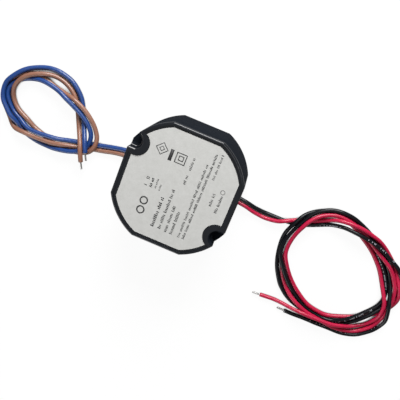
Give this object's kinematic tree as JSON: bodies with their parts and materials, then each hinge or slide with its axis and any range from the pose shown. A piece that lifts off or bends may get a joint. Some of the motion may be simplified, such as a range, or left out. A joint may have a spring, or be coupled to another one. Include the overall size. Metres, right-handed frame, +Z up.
{
  "type": "switching power supply module",
  "caption": "Potted black power supply module for a round wall box, with a printed label, two mains leads and two coiled output leads.",
  "frame": {"origin": "middle of the housing's base, on the surface it stands on", "axes": "+Z up through the label, +X towards the output leads, -X towards the mains leads, +Y across to a flat side without leads"},
  "size_m": [0.2086, 0.0715, 0.028],
  "materials": {
    "housing": "black moulded plastic",
    "label": "printed film",
    "potting": "satin resin",
    "board": "solder mask",
    "package": "moulded package",
    "ferrite": "ferrite",
    "copper_winding": "enamelled wire",
    "winding_tape": "polyester tape",
    "bobbin": "moulded nylon",
    "capacitor_sleeve": "shrink sleeve",
    "film_capacitor": "moulded box",
    "disc_coating": "dipped epoxy",
    "fuse_body": "moulded body",
    "opto_body": "moulded package",
    "blue_wire": "soft PVC",
    "brown_wire": "soft PVC",
    "red_wire": "soft PVC",
    "black_wire": "soft PVC",
    "tinned_strands": "tinned copper strands"
  },
  "bodies": {
    "root": {"housing": "housing", "rating_label": "label", "potting_compound": "potting", "circuit_board": "board", "mains_lead_tails": "blue_wire", "output_lead_tails": "red_wire", "input_fuse": "fuse_body", "varistor": "disc_coating", "suppression_capacitor": "film_capacitor", "line_choke_core": "ferrite", "line_choke_winding": "copper_winding", "bridge_rectifier": "package", "input_capacitor": "capacitor_sleeve", "switching_controller": "package", "snubber_capacitor": "film_capacitor", "transformer_core_left": "ferrite", "transformer_core_right": "ferrite", "transformer_bobbin": "bobbin", "transformer_winding": "winding_tape", "y_capacitor": "disc_coating", "optocoupler": "opto_body", "output_rectifier": "package", "output_choke_core": "ferrite", "output_choke_winding": "copper_winding", "output_capacitor_a": "capacitor_sleeve", "output_capacitor_b": "capacitor_sleeve", "blue_lead": "blue_wire", "brown_lead": "brown_wire", "mains_coil": "blue_wire", "blue_bare_end": "tinned_strands", "brown_bare_end": "tinned_strands", "black_lead": "black_wire", "red_lead": "red_wire", "output_coil": "black_wire", "red_lead_end": "red_wire", "black_bare_end": "tinned_strands", "red_bare_end": "tinned_strands"}
  },
  "joints": []
}
